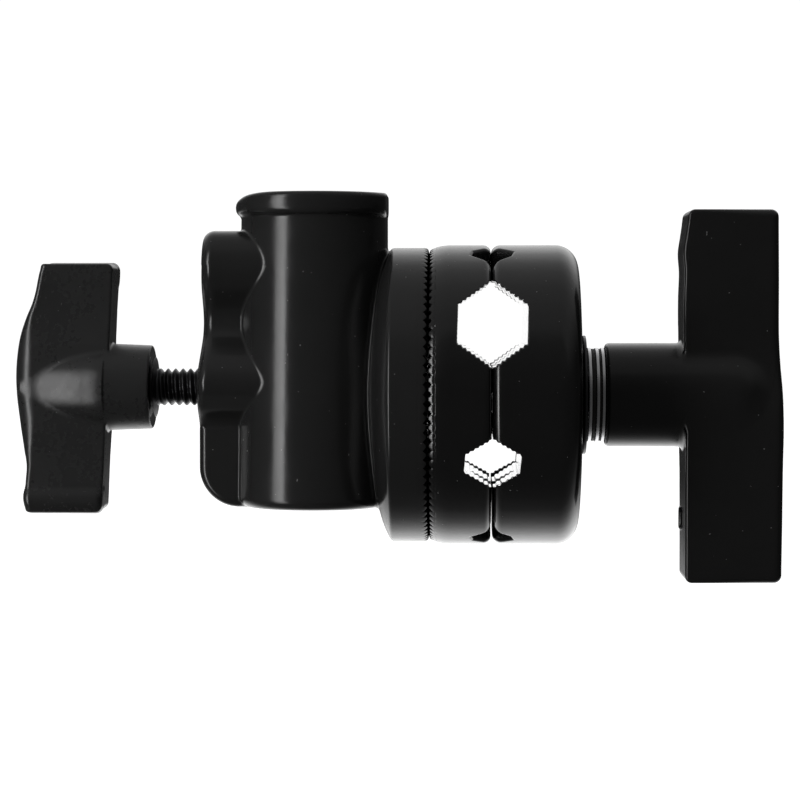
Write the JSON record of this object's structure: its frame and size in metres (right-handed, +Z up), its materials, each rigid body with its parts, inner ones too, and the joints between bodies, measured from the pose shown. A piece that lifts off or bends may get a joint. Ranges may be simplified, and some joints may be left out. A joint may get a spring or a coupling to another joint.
{
  "type": "grip head clamp",
  "caption": "Swivelling grip head: a wing-screw stand socket joined by a toothed face to round V-grooved jaws closed by a T-handle.",
  "frame": {"origin": "where the stand socket's vertical axis crosses the main stud's axis", "axes": "+X along the main stud towards the T-handle, +Z up along the stand socket, +Y towards the back of the grip grooves"},
  "size_m": [0.1637, 0.0636, 0.0821],
  "materials": {
    "black_casting": "gloss",
    "black_steel": "satin",
    "bright_steel": "satin",
    "spring_steel": "satin",
    "thread_insert": "satin",
    "friction_polymer": "matte",
    "brass": "satin"
  },
  "bodies": {
    "receiver": {"receiver_body": "black_casting", "main_stud": "black_steel", "stud_lock_pin": "bright_steel", "knob_thread_insert": "thread_insert"},
    "inner_jaw": {"inner_jaw": "black_casting", "alignment_pin_front": "bright_steel", "alignment_pin_back": "bright_steel", "jaw_spring": "spring_steel"},
    "outer_jaw": {"outer_jaw": "black_casting"},
    "thrust_stack": {"cone_washer": "black_steel", "thrust_washer_inner": "bright_steel", "friction_washer_inner": "friction_polymer", "thrust_washer_middle": "bright_steel", "friction_washer_outer": "friction_polymer", "thrust_washer_outer": "bright_steel"},
    "t_handle": {"t_handle": "black_casting", "handle_thread_insert": "thread_insert"},
    "pressure_pad": {"pressure_pad": "brass"},
    "wing_knob": {"wing_knob": "black_casting", "knob_stud": "black_steel", "knob_washer": "black_steel"}
  },
  "joints": [
    {"name": "jaw_swivel", "type": "hinge", "parent": "receiver", "child": "inner_jaw", "pos_m": [0.0305, 0, 0], "axis": [1, 0, 0], "continuous": true},
    {"name": "jaw_open", "type": "slide", "parent": "inner_jaw", "child": "outer_jaw", "axis": [1, 0, 0], "range_m": [0, 0.008], "deforming": ["jaw_spring"]},
    {"name": "stack_slide", "type": "slide", "parent": "receiver", "child": "thrust_stack", "axis": [1, 0, 0], "range_m": [0, 0.008]},
    {"name": "handle_turn", "type": "hinge", "parent": "thrust_stack", "child": "t_handle", "pos_m": [0.07, 0, 0], "axis": [1, 0, 0], "range_deg": [0, 1920]},
    {"name": "pad_slide", "type": "slide", "parent": "receiver", "child": "pressure_pad", "axis": [1, 0, 0], "range_m": [0, 0.0085]},
    {"name": "knob_turn", "type": "hinge", "parent": "pressure_pad", "child": "wing_knob", "pos_m": [-0.03, 0, 0.0016], "axis": [1, 0, 0], "range_deg": [0, 1912.5]}
  ],
  "couplings": [
    {"joint": "stack_slide", "follows": "handle_turn", "m_per_rad": 0.00023873},
    {"joint": "jaw_open", "follows": "handle_turn", "m_per_rad": 0.00023873},
    {"joint": "pad_slide", "follows": "knob_turn", "m_per_rad": 0.00025465}
  ]
}
